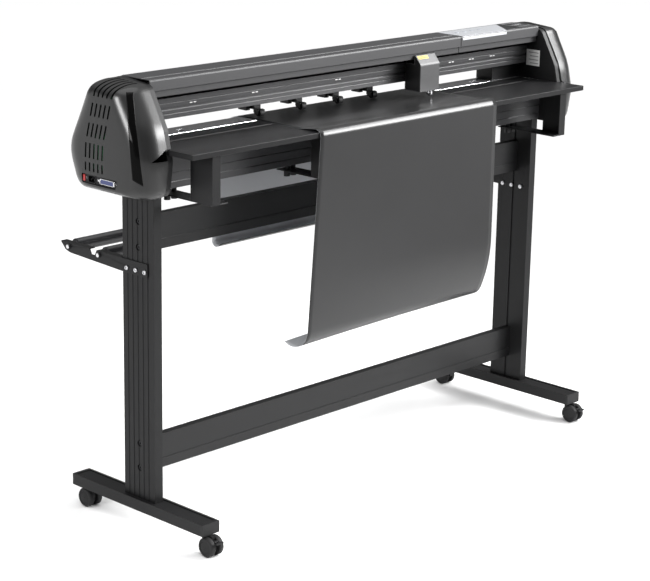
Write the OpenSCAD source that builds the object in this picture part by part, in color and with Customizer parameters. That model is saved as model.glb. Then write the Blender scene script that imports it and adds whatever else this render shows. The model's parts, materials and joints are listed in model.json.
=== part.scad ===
// Floor-standing vinyl cutter: stand on casters, roll holder, cutting head,
// feed shaft with pinch rollers, and a loaded sheet of vinyl.
// X runs along the machine, +Y is the back, Z is up, and the floor is z = 0.

/* [Stand] */
// Distance between the outer faces of the two legs
leg_span = 1442; // [1430:1:1442]
// Width of a leg, front to back
leg_depth = 112; // [90:1:120]
// Thickness of a leg profile
leg_thick = 25; // [20:1:30]
// Height of the leg's top above the floor
leg_top = 857; // [855:1:857]
// Length of a foot, front to back
foot_len = 464; // [456:1:468]
// Width of a foot
foot_w = 54; // [50:1:60]
// Height of a foot's section
foot_h = 29; // [27:1:30]
// Height of a crossbeam's section
beam_h = 87; // [80:1:90]
// Thickness of a crossbeam
beam_t = 21; // [18:1:24]

/* [Casters] */
// Radius of a caster wheel
caster_r = 24.5; // [23:0.5:24.5]
// Distance from the swivel axis back to the caster's axle
caster_trail = 18; // [16:1:20]

/* [Body] */
// Distance between the inner faces of the two end caps
body_inner = 1476; // [1476:1:1480]
// Width of an end cap along the machine
cap_w = 81; // [78:1:84]
// Height of the platen's top surface
platen_z = 967; // [967:1:967]
// Front edge of the table, measured from the legs' middle
table_front = 203; // [190:1:203]
// Length of the table
table_len = 1464; // [1400:1:1466]

/* [Drive] */
// Middle of each pinch roller along the machine
pinch_x = [-284, -136, 0, 130];
// Radius of a pinch roller
pinch_r = 9.5; // [8:0.5:9.5]
// Radius of a grit wheel
grit_r = 11; // [9:0.5:11]
// Left side of the carriage at rest
carriage_x = 201; // [0:1:400]

/* [Media] */
// Left edge of the loaded vinyl sheet
vinyl_x = -321; // [-330:1:-300]
// Width of the loaded vinyl sheet
vinyl_w = 668; // [600:1:700]

/* [Hidden] */
$fn = 48;

// The object's box is centred front to back by this shift
y_shift = -5.5;

// Stand
leg_out = leg_span / 2;
leg_in = leg_out - leg_thick;
leg_mid = leg_out - leg_thick / 2;
foot_bottom = 53;
foot_top = foot_bottom + foot_h;
foot_recess = 2;
foot_wall = 2.5;
plug_t = 10;
low_beam_z = 147;
up_beam_z = 701;
bolt_r = 4;
bolt_gap = 0.2;
bolt_head_r = 6.5;
leg_bore_r = 8;
bolt_inset = 12;
roll_bolt_z = 657;
roll_bolt_y = [-27, 5, 37];

// Casters
caster_y = 224;
wheel_half = 20.3;
hub_half = 5.5;
axle_r = 3;
stem_r = 5.5;
run_gap = 0.05;
swivel_z = 50.2;
swivel_r = 17;
brake_y = -33;
brake_z = 38;
brake_pin_r = 1.5;

// Roll holder
roller_r = 16;
roller_z = 668;
roller_front_y = 141;
roller_rear_y = 255;
roller_half = 702;
roller_axle_r = 4;
bracket_t = 3;

// Body
cap_in = body_inner / 2;
cap_out = cap_in + cap_w;
frame_t = 15;
beam_front = -60;
beam_back = 77;
platen_front = 12;
table_t = 13;
table_z = platen_z - 0.5;
cover_end = 384;
rail_front = -5;
rail_back = 98;
rail_low = 1009.5;
rail_top = 1059;
cover_top = 1117;
cover_front = -46;
bracket_x = [-664, -264];
bracket_low = 836;
knob_dx = [14, 36];
knob_y = -24;

// Rounded corners of the end profile: [y, z, radius, front or rear, top or bottom]
end_corners = [[-40, 1084, 26, 1, -1], [-82, 1001, 30, 1, 0], [-97, 936, 30, 1, 0], [-93, 876, 26, 1, 1],
    [95, 882, 32, -1, 1], [115, 942, 34, -1, 0], [43, 1078, 40, -1, -1]];

// Slots in the caps: front edge of the first column, and each row's lowest and highest point
vent_y = 9;
vent_rows = [[932, 968], [982, 1016], [1032, 1064], [1080, 1122]];

// Outline, seen from the front, of the dark strip down the outer corner of a cap
strip_outline = [[cap_out - 22, 1098], [cap_out - 5, 1098], [cap_out - 3, 1033], [cap_out - 5, 900],
    [cap_out - 13, 866], [cap_out - 20, 966]];

// Control panel
keypad_outline = [[392, -38], [585, -38], [645, 46], [392, 46]];
window_lo = [655, 8];
window_hi = [708, 36];
key_x = [430, 462, 494, 526];
key_y = 9;
key_r = 6;
key_gap = 0.5;

// Connector panel on the left cap
io_face = cap_out - 6;
io_z = 882;
rocker_y = 81;
inlet_y = 53.5;
port_y = -1.5;

// Drive
grit_x = [-547, -284, -136, 0, 130, 284, 547];
grit_y = 38;
grit_z = platen_z - 0.1 - grit_r;
grit_half = 9;
shaft_r = 5;
slot_half = 16;
slot_r = 9.6;
vinyl_t = 1;
vinyl_low = platen_z + 0.2;
pinch_z = vinyl_low + vinyl_t + 0.3 + pinch_r;
pivot_y = 76;
pivot_z = 992;
pin_r = 2.5;
pinch_axle_r = 2;
tee_y = 85;
carriage_w = 75;
tool_x = carriage_x + 57;
tool_y = -48;
belt_y = 13;
belt_z = 1066;
belt_x = 665;
pulley_r = 7;
feed_pulley_r = 8;
motor_z = 900;
belt_gap = 0.35;
belt_t = 1.6;
tool_r = 7;
arm_z = 994;
arm_t = 12;

// Vinyl: bends where it leaves the table and the platen, and curls at its two ends
bend_r = 20;
bend_c = [-188, 954.5];
hang_a = 183.9;
hang_len = 490;
curl_r = 53;
curl_a = 302;
rear_r = 60;
rear_c = [beam_back, vinyl_low - rear_r];
rear_a = 7.7;
rear_len = 285;
rear_curl_r = 15;
rear_curl_a = -160;

// ---------- helpers ----------
module place() {
    translate([0, y_shift, 0]) children();
}

module along_x(x0, x1) {
    translate([x0, 0, 0]) rotate([90, 0, 90]) linear_extrude(x1 - x0) children();
}

module box(lo, hi) {
    translate(lo) cube(hi - lo);
}

module rod_x(x0, x1, y, z, r) {
    translate([x0, y, z]) rotate([0, 90, 0]) cylinder(r = r, h = x1 - x0);
}

module sides() {
    for (s = [-1, 1]) scale_x(s) children();
}

module scale_x(s) {
    if (s < 0) mirror([1, 0, 0]) children();
    else children();
}

function arc(c, r, a0, a1, n) =
    [for (i = [0:n]) c + r * [cos(a0 + (a1 - a0) * i / n), sin(a0 + (a1 - a0) * i / n)]];

// ---------- stand ----------
module leg_section() {
    difference() {
        translate([leg_in, -leg_depth / 2]) square([leg_thick, leg_depth]);
        for (i = [-2:2]) translate([leg_out - 1.2, i * 18 - 3]) square([2, 6]);
        translate([leg_in - 1, -3]) square([4, 6]);
        for (s = [-1, 1]) translate([leg_in + 4, s * 28 - 16]) square([leg_thick - 8.5, 32]);
    }
}

module beam_bolt_holes(r, x0, x1) {
    for (z = [low_beam_z, up_beam_z], dz = [bolt_inset, beam_h - bolt_inset])
        rod_x(x0, x1, 0, z + dz, r);
}

module leg() {
    difference() {
        translate([0, 0, foot_top - foot_recess])
            linear_extrude(leg_top - foot_top + foot_recess) leg_section();
        beam_bolt_holes(bolt_r + bolt_gap, leg_in - 1, leg_out + 1);
        beam_bolt_holes(leg_bore_r, leg_out - 9, leg_out + 1);
        for (y = roll_bolt_y) rod_x(leg_in - 1, leg_out + 1, y, roll_bolt_z, 3.2);
    }
}

module left_leg() {
    place() color([0.10, 0.10, 0.11]) scale_x(-1) leg();
}

module right_leg() {
    place() color([0.10, 0.10, 0.11]) leg();
}

module foot() {
    difference() {
        box([leg_mid - foot_w / 2, -foot_len / 2, foot_bottom],
            [leg_mid + foot_w / 2, foot_len / 2, foot_top]);
        box([leg_mid - foot_w / 2 + foot_wall, -foot_len / 2 + 52, foot_bottom + foot_wall],
            [leg_mid + foot_w / 2 - foot_wall, foot_len / 2 - 52, foot_top - foot_recess - foot_wall]);
        box([leg_mid - 20, -foot_len / 2 - 1, foot_top - foot_recess],
            [leg_mid + 20, foot_len / 2 + 1, foot_top + 1]);
        for (s = [-1, 1]) translate([leg_mid, s * caster_y, foot_bottom - 1])
            cylinder(r = stem_r + run_gap, h = 25);
    }
}

module left_foot() {
    place() color([0.09, 0.09, 0.10]) scale_x(-1) foot();
}

module right_foot() {
    place() color([0.09, 0.09, 0.10]) foot();
}

module foot_end_caps() {
    half_t = plug_t / 2;
    mid_y = foot_len / 2 + half_t;
    place() color([0.05, 0.05, 0.05]) sides() for (s = [-1, 1])
        box([leg_mid - foot_w / 2, s * mid_y - half_t, foot_bottom],
            [leg_mid + foot_w / 2, s * mid_y + half_t, foot_top]);
}

module crossbeam_section() {
    difference() {
        translate([-beam_t / 2, 0]) square([beam_t, beam_h]);
        for (s = [-1, 1]) translate([s * beam_t / 2 - 1.5, 24]) square([3, 35]);
        translate([-beam_t / 2 + 4, 24]) square([beam_t - 8, 39]);
    }
}

module crossbeam(z) {
    difference() {
        translate([0, 0, z]) along_x(-leg_in, leg_in) crossbeam_section();
        sides() for (dz = [bolt_inset, beam_h - bolt_inset])
            rod_x(leg_in - 30, leg_in + 1, 0, z + dz, bolt_r + bolt_gap);
    }
}

module crossbeams() {
    place() color([0.12, 0.12, 0.13]) for (z = [low_beam_z, up_beam_z]) crossbeam(z);
}

module bolt_x(head_x, y, z, r, head_r, head_t, len) {
    rod_x(head_x - len, head_x, y, z, r);
    rod_x(head_x, head_x + head_t, y, z, head_r);
}

module stand_bolts() {
    place() color([0.7, 0.7, 0.72]) sides() {
        for (z = [low_beam_z, up_beam_z], dz = [bolt_inset, beam_h - bolt_inset])
            bolt_x(leg_out - 9, 0, z + dz, bolt_r, bolt_head_r, 6, 40);
        for (y = roll_bolt_y) {
            bolt_x(leg_out + bracket_t, y, roll_bolt_z, 3, 5.5, 3.5, 34);
            translate([leg_in - 5, y, roll_bolt_z]) rotate([0, 90, 0]) difference() {
                cylinder(r = 6, h = 5, $fn = 6);
                translate([0, 0, -1]) cylinder(r = 3.1, h = 7, $fn = 32);
            }
        }
    }
}

// ---------- casters; dir is -1 where the wheels trail to the front ----------
module caster_at(sx, sy) {
    place() translate([sx * leg_mid, sy * caster_y, 0]) children();
}

module caster_fork(dir, braked) {
    axle_y = dir * caster_trail;
    color([0.06, 0.06, 0.06]) {
        translate([0, 0, swivel_z]) cylinder(r = swivel_r, h = 2.5);
        translate([0, 0, swivel_z + 2]) cylinder(r = stem_r, h = 24);
        box([-hub_half, min(axle_y, 0) - 8, 26], [hub_half, max(axle_y, 0) + 8, swivel_z + 1]);
        rod_x(-hub_half, hub_half, axle_y, caster_r, 16);
        rod_x(-wheel_half - 1.5, wheel_half + 1.5, axle_y, caster_r, axle_r);
        if (braked) difference() {
            union() {
                box([-2.4, brake_y - 2.5, brake_z - 3], [2.4, -27, brake_z + 3]);
                rod_x(-2.4, 2.4, brake_y - 1, brake_z, 3);
                rod_x(-5.2, 5.2, brake_y, brake_z, brake_pin_r);
            }
            box([-1, brake_y - 9, brake_z + 3], [1, brake_y, brake_z + 4]);
        }
    }
}

module caster_wheels(dir) {
    face = hub_half + 0.8;
    color([0.04, 0.04, 0.04]) for (s = [-1, 1]) scale_x(s)
        translate([0, dir * caster_trail, caster_r]) rotate([0, 90, 0]) difference() {
            union() {
                translate([0, 0, face]) cylinder(r1 = caster_r - 2, r2 = caster_r, h = 2);
                translate([0, 0, face + 2]) cylinder(r = caster_r, h = 9);
                translate([0, 0, face + 11]) cylinder(r1 = caster_r, r2 = caster_r - 2.5, h = 3);
            }
            translate([0, 0, hub_half]) cylinder(r = axle_r + run_gap, h = 20);
            translate([0, 0, face + 12]) cylinder(r = 17, h = 4);
        }
}

module caster_brake() {
    color([0.07, 0.07, 0.07]) {
        difference() {
            for (s = [-1, 1]) scale_x(s) {
                rod_x(2.9, 5, brake_y, brake_z, 3.5);
                box([2.9, -46, brake_z - 2.5], [5, brake_y, brake_z + 1.5]);
            }
            rod_x(-6, 6, brake_y, brake_z, brake_pin_r + run_gap);
        }
        box([-11, -50, brake_z - 1], [11, -44, brake_z + 3]);
    }
}

module caster_fl_fork() {
    caster_at(-1, -1) caster_fork(-1, true);
}

module caster_fl_wheels() {
    caster_at(-1, -1) caster_wheels(-1);
}

module caster_fl_brake() {
    caster_at(-1, -1) caster_brake();
}

module caster_fr_fork() {
    caster_at(1, -1) caster_fork(-1, true);
}

module caster_fr_wheels() {
    caster_at(1, -1) caster_wheels(-1);
}

module caster_fr_brake() {
    caster_at(1, -1) caster_brake();
}

module caster_rl_fork() {
    caster_at(-1, 1) caster_fork(-1, false);
}

module caster_rl_wheels() {
    caster_at(-1, 1) caster_wheels(-1);
}

module caster_rr_fork() {
    caster_at(1, 1) caster_fork(1, false);
}

module caster_rr_wheels() {
    caster_at(1, 1) caster_wheels(1);
}

// ---------- roll holder ----------
module roll_bracket() {
    difference() {
        union() {
            along_x(leg_out, leg_out + bracket_t)
                polygon([[-36, 644], [60, 645], [250, 653], [268, 658], [285, 675], [285, 678],
                    [177, 678], [170, 664], [157, 664], [150, 678], [-36, 678]]);
            box([leg_out - 15, 62, 675.5], [leg_out + bracket_t, 150, 678]);
            box([leg_out - 15, 177, 675.5], [leg_out + bracket_t, 285, 678]);
        }
        for (y = roll_bolt_y) rod_x(leg_out - 1, leg_out + 9, y, roll_bolt_z, 3.2);
        for (y = [roller_front_y, roller_rear_y]) 
            rod_x(leg_out - 1, leg_out + 9, y, roller_z, roller_axle_r + run_gap);
    }
}

module roll_brackets() {
    place() color([0.16, 0.16, 0.17]) sides() roll_bracket();
}

module media_roller(y) {
    place() color([0.05, 0.05, 0.06]) {
        rod_x(-roller_half, roller_half, y, roller_z, roller_r);
        rod_x(-leg_out - 7, leg_out + 7, y, roller_z, roller_axle_r);
        sides() rod_x(leg_out + bracket_t + 0.5, leg_out + bracket_t + 5, y, roller_z, 6.5);
    }
}

module front_media_roller() {
    media_roller(roller_front_y);
}

module rear_media_roller() {
    media_roller(roller_rear_y);
}

// ---------- body ----------
module base_section() {
    difference() {
        polygon([[beam_front, leg_top], [beam_back, leg_top], [beam_back, 955], [platen_front, 955],
            [platen_front, table_z - table_t], [beam_front, table_z - table_t]]);
        translate([beam_front + 4, leg_top + 4]) square([60, 78]);
        translate([beam_front + 68, leg_top + 4]) square([65, 70]);
        translate([24, 941]) square([28, 20]);
        for (z = [873, 894]) translate([beam_front - 1, z]) square([3, 2.5]);
    }
}

module base_beam() {
    place() color([0.14, 0.14, 0.15]) along_x(-leg_out, leg_out) base_section();
}

module stadium(half, r) {
    for (s = [-1, 1]) translate([s * (half - r), 0]) circle(r);
    square([2 * (half - r), 2 * r], center = true);
}

module platen() {
    place() color([0.78, 0.78, 0.79]) difference() {
        along_x(-leg_out, leg_out) difference() {
            translate([platen_front + 0.3, 955]) square([beam_back - platen_front - 0.3, platen_z - 955]);
            translate([24, 954]) square([28, 8.5]);
        }
        for (x = grit_x) translate([x, grit_y, 950]) linear_extrude(30) stadium(slot_half, slot_r);
    }
}

module front_table() {
    place() color([0.13, 0.13, 0.13]) difference() {
        box([-table_len / 2, -table_front, table_z - table_t], [table_len / 2, platen_front, table_z]);
        sides() box([leg_out, beam_front - 2, table_z - 20], [table_len, platen_front + 1, table_z + 1]);
        box([-leg_out + 2, tool_y - 5, table_z - 1], [leg_out - 2, tool_y + 5, table_z + 1]);
    }
}

module table_bracket() {
    under = table_z - table_t;
    front = -196;
    box([0, front + 2, bracket_low], [3, -121, under]);
    box([0, front, bracket_low], [26, front + 3, under]);
    box([0, front, under - 3], [26, -121, under]);
    difference() {
        box([0, front, bracket_low], [50, 0, bracket_low + 3]);
        for (x = knob_dx) translate([x, knob_y, bracket_low - 6]) cylinder(r = 3.2, h = 12);
    }
}

module table_brackets() {
    place() color([0.10, 0.10, 0.11]) sides() for (x = bracket_x) translate([x, 0, 0]) table_bracket();
}

module bracket_knobs() {
    place() color([0.05, 0.05, 0.05]) sides() for (x = bracket_x, dx = knob_dx)
        translate([x + dx, knob_y, bracket_low]) {
            translate([0, 0, -14]) cylinder(r = 8, h = 14);
            cylinder(r = 3, h = leg_top - bracket_low);
            translate([0, 0, 3]) cylinder(r = 6, h = leg_top - bracket_low - 3);
        }
}

module end_slice(x, t, front, rear, top, low, gap) {
    for (c = end_corners)
        translate([x, c[0] + (c[3] > 0 ? front : -rear), c[1] + (c[4] < 0 ? -top : c[4] * low)])
            rotate([0, 90, 0]) cylinder(r = c[2] - gap, h = t, $fn = 32);
}

module end_frame() {
    difference() {
        hull() end_slice(leg_out, frame_t, 0, 0, 0, 0, 2);
        box([leg_out - 1, -300, table_z - table_t], [leg_out + 30, platen_front, table_z]);
        rod_x(leg_out - 1, leg_out + frame_t + 1, grit_y, grit_z, shaft_r + run_gap);
    }
}

module end_frames() {
    place() color([0.06, 0.06, 0.06]) {
        sides() end_frame();
        box([603, 20, platen_z + 0.5], [leg_out, beam_back, rail_low - 0.5]);
    }
}

module cap_slices(gap) {
    end_slice(cap_in - (gap > 0 ? 1 : 0), 31, 0, 0, 0, 0, gap);
    end_slice(cap_in + 61 - gap, 0.5, 2.5, 0.5, 6.5, 5, gap);
    end_slice(cap_in + 73 - gap, 0.5, 7, 12, 13, 10, gap);
    end_slice(cap_out - 2.5 - gap, 0.5, 13, 27, 19, 14, gap);
    end_slice(cap_out - 0.5 - gap, 0.5, 25, 45, 26, 19, gap);
}

module cap_shell(vent_low) {
    difference() {
        hull() cap_slices(0);
        hull() cap_slices(3);
        translate([0, -140, 0]) rotate([-90, 0, 0]) linear_extrude(90)
            polygon([[cap_in - 1, -942], [cap_in - 1, -970], [cap_in + 46, -943]]);
        for (row = concat([[vent_low, 922]], vent_rows), i = [0:4])
            box([cap_out - 40, vent_y + 15 * i, row[0]], [cap_out + 1, vent_y + 15 * i + 5.4, row[1]]);
    }
}

module left_cap() {
    place() color([0.07, 0.07, 0.07]) difference() {
        scale_x(-1) cap_shell(io_z + 15);
        box([-cap_out - 1, -42, io_z - 11], [-io_face + 10, 85.5, io_z + 11]);
    }
}

module right_cap() {
    place() color([0.07, 0.07, 0.07]) cap_shell(868);
}

module cap_trim_strips() {
    place() color([0.02, 0.02, 0.02]) sides() intersection() {
        translate([0, -20, 0]) rotate([90, 0, 0]) linear_extrude(120) polygon(strip_outline);
        difference() {
            hull() cap_slices(-1);
            hull() cap_slices(0);
        }
    }
}

// The cover's wall, seen from the end: its outer face, then its inner face back to the start
function cover_outline() =
    let (wall = 2.5)
    concat(
        [[cover_front, 1088.5], [cover_front, 1112]],
        arc([cover_front + 5, 1112], 5, 180, 90, 4),
        [[-20, cover_top], [-20, cover_top - 1], [-16, cover_top - 1], [-16, cover_top]],
        [[50, cover_top], [60, 1113], [94, 1094], [rail_back, 1084], [rail_back, rail_top]],
        [[rail_back - 8, rail_top], [rail_back - 8, 1067], [rail_back - wall, 1067]],
        [[rail_back - wall, 1082], [92, 1092], [59, 1110.5], [50, cover_top - wall]],
        arc([cover_front + 5, 1112], 5 - wall, 90, 180, 4),
        [[cover_front + wall, 1091], [cover_front + 10, 1091], [cover_front + 10, 1072]],
        [[cover_front + 10 - wall, 1072], [cover_front + 10 - wall, 1088.5]]);

module cover_section() {
    polygon(cover_outline());
}

module top_cover() {
    place() color([0.20, 0.20, 0.21]) along_x(-leg_out, cover_end) cover_section();
}

module panel_housing() {
    place() color([0.16, 0.16, 0.17]) difference() {
        along_x(cover_end + 1.5, leg_out) cover_section();
        translate([0, 0, cover_top - 1]) linear_extrude(3) polygon(keypad_outline);
        box(concat(window_lo, cover_top - 1), concat(window_hi, cover_top + 1));
        for (x = key_x) translate([x, key_y, cover_top - 9]) cylinder(r = key_r + 1, h = 12);
    }
}

module keypad_overlay() {
    place() color([0.72, 0.73, 0.74]) difference() {
        translate([0, 0, cover_top - 1]) linear_extrude(1.2) polygon(keypad_outline);
        for (x = key_x) translate([x, key_y, cover_top - 2]) cylinder(r = key_r + key_gap, h = 4);
    }
}

module display_window() {
    place() color([0.03, 0.04, 0.05])
        box(concat(window_lo, cover_top - 1), concat(window_hi, cover_top + 0.2));
}

module key_cap(i) {
    place() color([0.45, 0.47, 0.50]) translate([key_x[i], key_y, cover_top - 4])
        cylinder(r = key_r, h = 5);
}

module key_left() {
    key_cap(0);
}

module key_right() {
    key_cap(1);
}

module key_menu() {
    key_cap(2);
}

module key_pause() {
    key_cap(3);
}

// A panel with a rocker hole, a mains inlet with three blades, a wide port and a narrow one
module io_plate() {
    place() color([0.08, 0.08, 0.09]) scale_x(-1) {
        difference() {
            union() {
                box([io_face - 3, -46, io_z - 12], [io_face, 88, io_z + 14]);
                box([io_face - 16, inlet_y - 13.5, io_z - 9.5], [io_face, inlet_y + 13.5, io_z + 9.5]);
                box([io_face, port_y - 26.5, io_z - 6.5], [io_face + 2, port_y + 26.5, io_z + 6.5]);
                for (y = [inlet_y - 20, inlet_y + 20, port_y - 30])
                    rod_x(io_face, io_face + 2, y, io_z, 2.5);
            }
            box([io_face - 4, rocker_y - 4, io_z - 9], [io_face + 1, rocker_y + 4, io_z + 9]);
            box([io_face - 14.5, inlet_y - 12, io_z - 8], [io_face + 1, inlet_y + 12, io_z + 8]);
            box([io_face - 1, port_y - 25, io_z - 5], [io_face + 3, port_y + 25, io_z + 5]);
            box([io_face - 4, -41, io_z - 2], [io_face + 1, -35, io_z + 4]);
        }
        for (c = [[-6, -2], [0, 2], [6, -2]]) translate([0, inlet_y + c[0], io_z + c[1]])
            box([io_face - 15, -1, -2], [io_face - 2, 1, 2]);
    }
}

module power_rocker() {
    half_w = 3.6;
    place() color([0.45, 0.05, 0.05]) scale_x(-1)
        box([io_face - 4, rocker_y - half_w, io_z - 7.5], [io_face + 2, rocker_y + half_w, io_z + 7.5]);
}

// Power supply and control board, on standoffs from the left end frame
module electronics() {
    frame_face = leg_out + frame_t;
    place() color([0.10, 0.35, 0.16]) scale_x(-1) {
        box([cap_in + 12, -40, 1000], [cap_in + 14, 60, 1070]);
        box([cap_in + 14, -20, 1015], [cap_in + 22, 15, 1050]);
        for (y = [-32, 52], z = [1008, 1062]) rod_x(frame_face, cap_in + 12, y, z, 3);
        box([cap_in + 12, -30, 900], [cap_in + 50, 80, 980]);
        for (y = [-20, 70], z = [910, 970]) rod_x(frame_face, cap_in + 12, y, z, 3);
    }
}

// ---------- rail, belts and motors ----------
module rail_section() {
    difference() {
        translate([rail_front, rail_low]) square([rail_back - rail_front, rail_top - rail_low]);
        for (z = [1020, 1046]) translate([rail_front - 1, z]) square([3, 1.5]);
        translate([rail_front - 1, 1030]) square([6, 6.5]);
        translate([8, rail_low + 5]) square([56, rail_top - rail_low - 10]);
        translate([70, rail_low + 14]) square([24, rail_top - rail_low - 19]);
        translate([tee_y - 4, rail_low - 1]) square([8, 6]);
        translate([tee_y - 8, rail_low + 3]) square([16, 6]);
    }
}

module guide_rail() {
    place() color([0.19, 0.19, 0.20]) along_x(-leg_out, leg_out) rail_section();
}

module drive_motors() {
    motor_x = cap_in + 16;
    place() {
        color([0.12, 0.12, 0.12]) {
            box([belt_x - 21, belt_y - 21, 1073], [belt_x + 21, belt_y + 21, 1107]);
            box([belt_x - 21, belt_y + 12, rail_top], [belt_x + 21, belt_y + 21, 1073]);
            box([motor_x, 10, motor_z - 28], [motor_x + 42, 66, motor_z + 28]);
            for (y = [14, 62], dz = [-24, 24])
                rod_x(leg_out + frame_t, motor_x, y, motor_z + dz, 3);
        }
        color([0.7, 0.7, 0.72]) {
            for (s = [-1, 1]) translate([s * belt_x, belt_y, belt_z - 5]) cylinder(r = pulley_r, h = 10);
            translate([-belt_x, belt_y, rail_top]) cylinder(r = 3, h = 8);
            translate([belt_x, belt_y, belt_z + 4]) cylinder(r = 3, h = 4);
            rod_x(cap_in + 3, cap_in + 12, grit_y, motor_z, feed_pulley_r);
            rod_x(cap_in + 10, motor_x, grit_y, motor_z, 4);
        }
    }
}

module belt_loop(half, r) {
    difference() {
        stadium(half + r + belt_t, r + belt_t);
        stadium(half + r, r);
    }
}

module drive_belts() {
    place() color([0.03, 0.03, 0.03]) {
        translate([0, belt_y, belt_z - 4]) linear_extrude(8) belt_loop(belt_x, pulley_r + belt_gap);
        translate([cap_in + 4, grit_y, (motor_z + grit_z) / 2]) rotate([0, 90, 0]) linear_extrude(7)
            belt_loop((grit_z - motor_z) / 2, feed_pulley_r + belt_gap);
    }
}

module feed_shaft() {
    place() color([0.65, 0.65, 0.67]) {
        rod_x(-leg_out - frame_t + 1, cap_in + 12, grit_y, grit_z, shaft_r);
        rod_x(cap_in + 3, cap_in + 12, grit_y, grit_z, feed_pulley_r);
        for (x = grit_x) rod_x(x - grit_half, x + grit_half, grit_y, grit_z, grit_r);
    }
}

// ---------- carriage ----------
module carriage_plate() {
    place() color([0.10, 0.10, 0.10]) translate([carriage_x, 0, 0]) {
        box([3, -12, 992], [carriage_w - 3, -8, 1064]);
        box([10, -12, 1060], [carriage_w - 10, 3.2, 1064]);
        box([14, -9, 1030.8], [carriage_w - 14, -2, 1035.7]);
        difference() {
            union() {
                box([49, -40, arm_z], [63, -12, arm_z + arm_t]);
                box([47, -60, arm_z], [67, -38, arm_z + arm_t]);
            }
            translate([tool_x - carriage_x, tool_y, arm_z - 1])
                cylinder(r = tool_r + run_gap, h = arm_t + 2);
        }
        rod_x(66, carriage_w + 6, tool_y, arm_z + arm_t / 2, 3);
        rod_x(carriage_w + 1, carriage_w + 9, tool_y, arm_z + arm_t / 2, 9);
    }
}

// The cover seen from the end: a flat front, then a sloped hood that reaches up under the top cover
cover_side = concat([[-12, 989], [-65, 989], [-65, 1056]], arc([-53, 1056], 12, 180, 139, 4),
    [[-45.4, 1083], [-42, 1083], [-42, 1061], [-12, 1061]]);

module carriage_cover() {
    wall = 2;
    place() color([0.24, 0.24, 0.25]) translate([carriage_x, 0, 0]) difference() {
        along_x(0, carriage_w) polygon(cover_side);
        box([wall, -65 + wall, 988], [carriage_w - wall, -11, 1061 - wall]);
        rod_x(carriage_w - 4, carriage_w + 2, tool_y, arm_z + arm_t / 2, 4);
    }
}

module tool_holder() {
    place() color([0.75, 0.75, 0.77]) translate([tool_x, tool_y, 0]) {
        translate([0, 0, 984]) cylinder(r = tool_r, h = 50);
        translate([0, 0, 976]) cylinder(r = tool_r + 1.5, h = 10);
        translate([0, 0, 972]) cylinder(r1 = 2.5, r2 = 6, h = 4.2);
    }
}

// ---------- pinch rollers ----------
module pinch_carrier(i) {
    place() color([0.06, 0.06, 0.06]) translate([pinch_x[i], 0, 0]) {
        difference() {
            union() {
                box([-20, 68, 981], [20, 98, rail_low - 0.3]);
                box([-20, tee_y - 3.7, rail_low - 1], [20, tee_y + 3.7, rail_low + 4]);
                box([-20, tee_y - 7.6, rail_low + 3.3], [20, tee_y + 7.6, rail_low + 8.6]);
            }
            box([-7, 60, 980], [7, 100, rail_low - 4]);
        }
        rod_x(-8, 8, pivot_y, pivot_z, pin_r);
    }
}

module pinch_arm(i) {
    place() color([0.09, 0.09, 0.10]) translate([pinch_x[i], 0, 0]) {
        difference() {
            union() {
                rod_x(-6, 6, pivot_y, pivot_z, 6);
                box([-6, 49, 986], [6, pivot_y, 996]);
                box([-11, 48.5, 978], [11, 52, 996]);
                for (s = [-1, 1]) box([s * 9.7 - 1.3, 34, 973.5], [s * 9.7 + 1.3, 50, 986]);
                box([-6, pivot_y, 988], [6, 112, 995]);
                box([-9, 108, 989], [9, 122, 994]);
            }
            rod_x(-8, 8, pivot_y, pivot_z, pin_r + run_gap);
        }
        rod_x(-9, 9, grit_y, pinch_z, pinch_axle_r);
    }
}

module pinch_wheel(i) {
    place() color([0.03, 0.03, 0.03]) translate([pinch_x[i], 0, 0]) difference() {
        rod_x(-8, 8, grit_y, pinch_z, pinch_r);
        rod_x(-9, 9, grit_y, pinch_z, pinch_axle_r + run_gap);
    }
}

module pinch_1_carrier() {
    pinch_carrier(0);
}

module pinch_1_arm() {
    pinch_arm(0);
}

module pinch_1_wheel() {
    pinch_wheel(0);
}

module pinch_2_carrier() {
    pinch_carrier(1);
}

module pinch_2_arm() {
    pinch_arm(1);
}

module pinch_2_wheel() {
    pinch_wheel(1);
}

module pinch_3_carrier() {
    pinch_carrier(2);
}

module pinch_3_arm() {
    pinch_arm(2);
}

module pinch_3_wheel() {
    pinch_wheel(2);
}

module pinch_4_carrier() {
    pinch_carrier(3);
}

module pinch_4_arm() {
    pinch_arm(3);
}

module pinch_4_wheel() {
    pinch_wheel(3);
}

// ---------- vinyl ----------
function at(c, r, a) = c + r * [cos(a), sin(a)];

// One face of the sheet, from the front curl over the table and platen to the rear curl
function vinyl_line(o) =
    let (hang_end = at(bend_c, bend_r, hang_a) + hang_len * [-sin(hang_a), cos(hang_a)])
    let (curl_c = at(hang_end, -curl_r, hang_a))
    let (rear_end = at(rear_c, rear_r, rear_a) + rear_len * [sin(rear_a), -cos(rear_a)])
    let (rear_curl_c = at(rear_end, -rear_curl_r, rear_a))
    concat(
        arc(curl_c, curl_r + o, curl_a, hang_a, 14),
        arc(bend_c, bend_r + o, hang_a, 93, 10),
        [[-130, vinyl_low + o]],
        arc(rear_c, rear_r + o, 90, rear_a, 10),
        arc(rear_curl_c, rear_curl_r + o, rear_a, rear_curl_a, 14));

function backwards(list) = [for (i = [len(list) - 1:-1:0]) list[i]];

module vinyl_sheet() {
    place() color([0.13, 0.13, 0.14]) along_x(vinyl_x, vinyl_x + vinyl_w)
        polygon(concat(vinyl_line(0), backwards(vinyl_line(vinyl_t))));
}

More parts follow.
